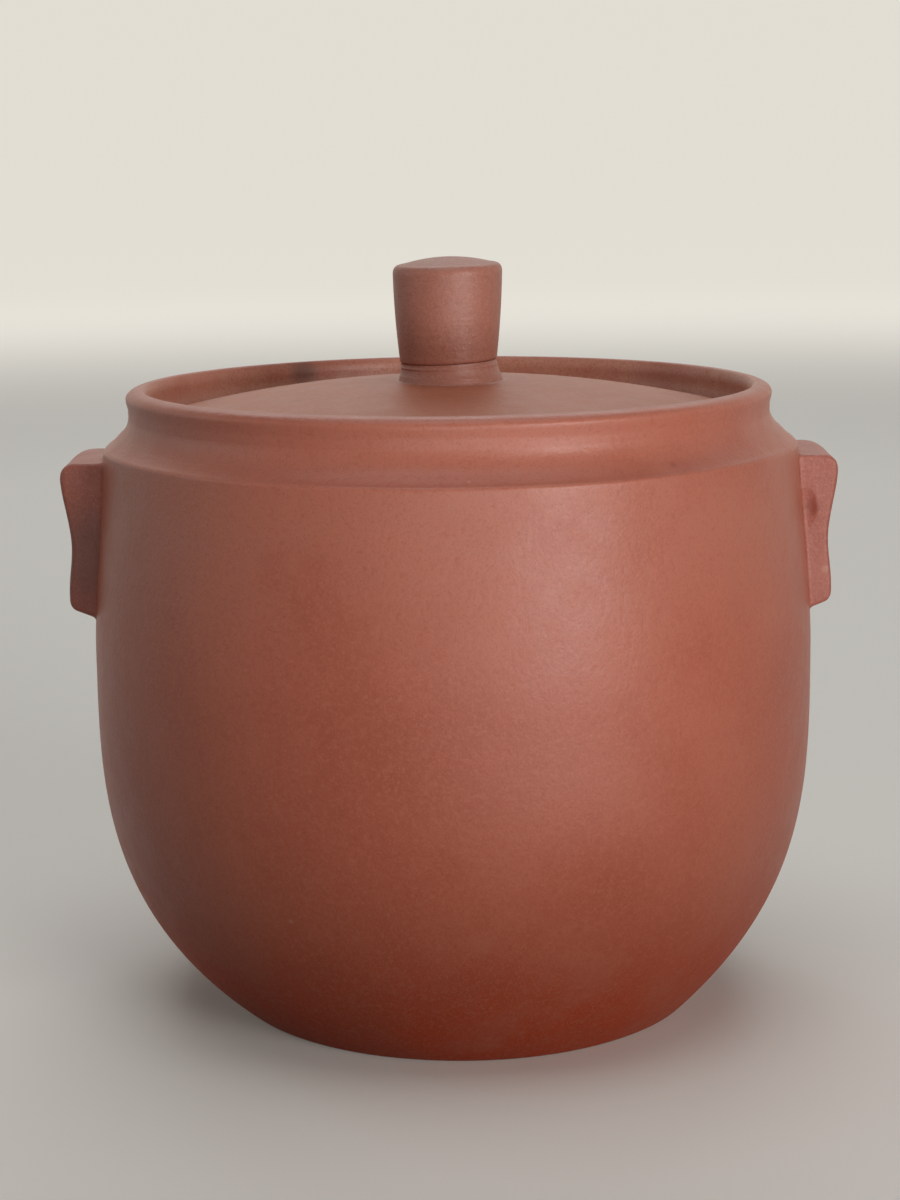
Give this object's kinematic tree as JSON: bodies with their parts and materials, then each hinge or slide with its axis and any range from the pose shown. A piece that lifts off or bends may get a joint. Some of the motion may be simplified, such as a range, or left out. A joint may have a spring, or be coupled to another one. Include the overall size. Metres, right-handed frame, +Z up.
{
  "type": "lidded clay jar",
  "caption": "Round-bellied unglazed clay jar with a recessed domed lid, a tall tapering knob and a small solid lug on each side.",
  "frame": {"origin": "centre of the foot ring, at the height of the table that the jar stands on", "axes": "+Z up along the jar's axis of revolution, +X through lug_right, -Y towards the side that the picture shows"},
  "size_m": [0.1016, 0.096, 0.1003],
  "materials": {
    "body_clay": "unglazed stoneware, burnished to a soft satin",
    "neck_clay": "unglazed stoneware, burnished to a soft satin",
    "lug_clay": "unglazed stoneware, smoothed with slip, matt",
    "lid_clay": "unglazed stoneware, matt",
    "knob_clay": "unglazed stoneware, smoothed, matt"
  },
  "bodies": {
    "jar": {"base_disc": "body_clay", "body_wall": "body_clay", "shoulder_ring": "neck_clay", "neck_collar": "neck_clay", "mouth_lip": "neck_clay", "lug_right": "lug_clay", "lug_left": "lug_clay"},
    "lid": {"lid_plate": "lid_clay", "lid_flange": "lid_clay", "knob_skirt": "knob_clay", "knob": "knob_clay"}
  },
  "joints": [
    {"name": "lid_lift", "type": "slide", "parent": "jar", "child": "lid", "axis": [0, 0, 1], "range_m": [0, 0.08]}
  ]
}
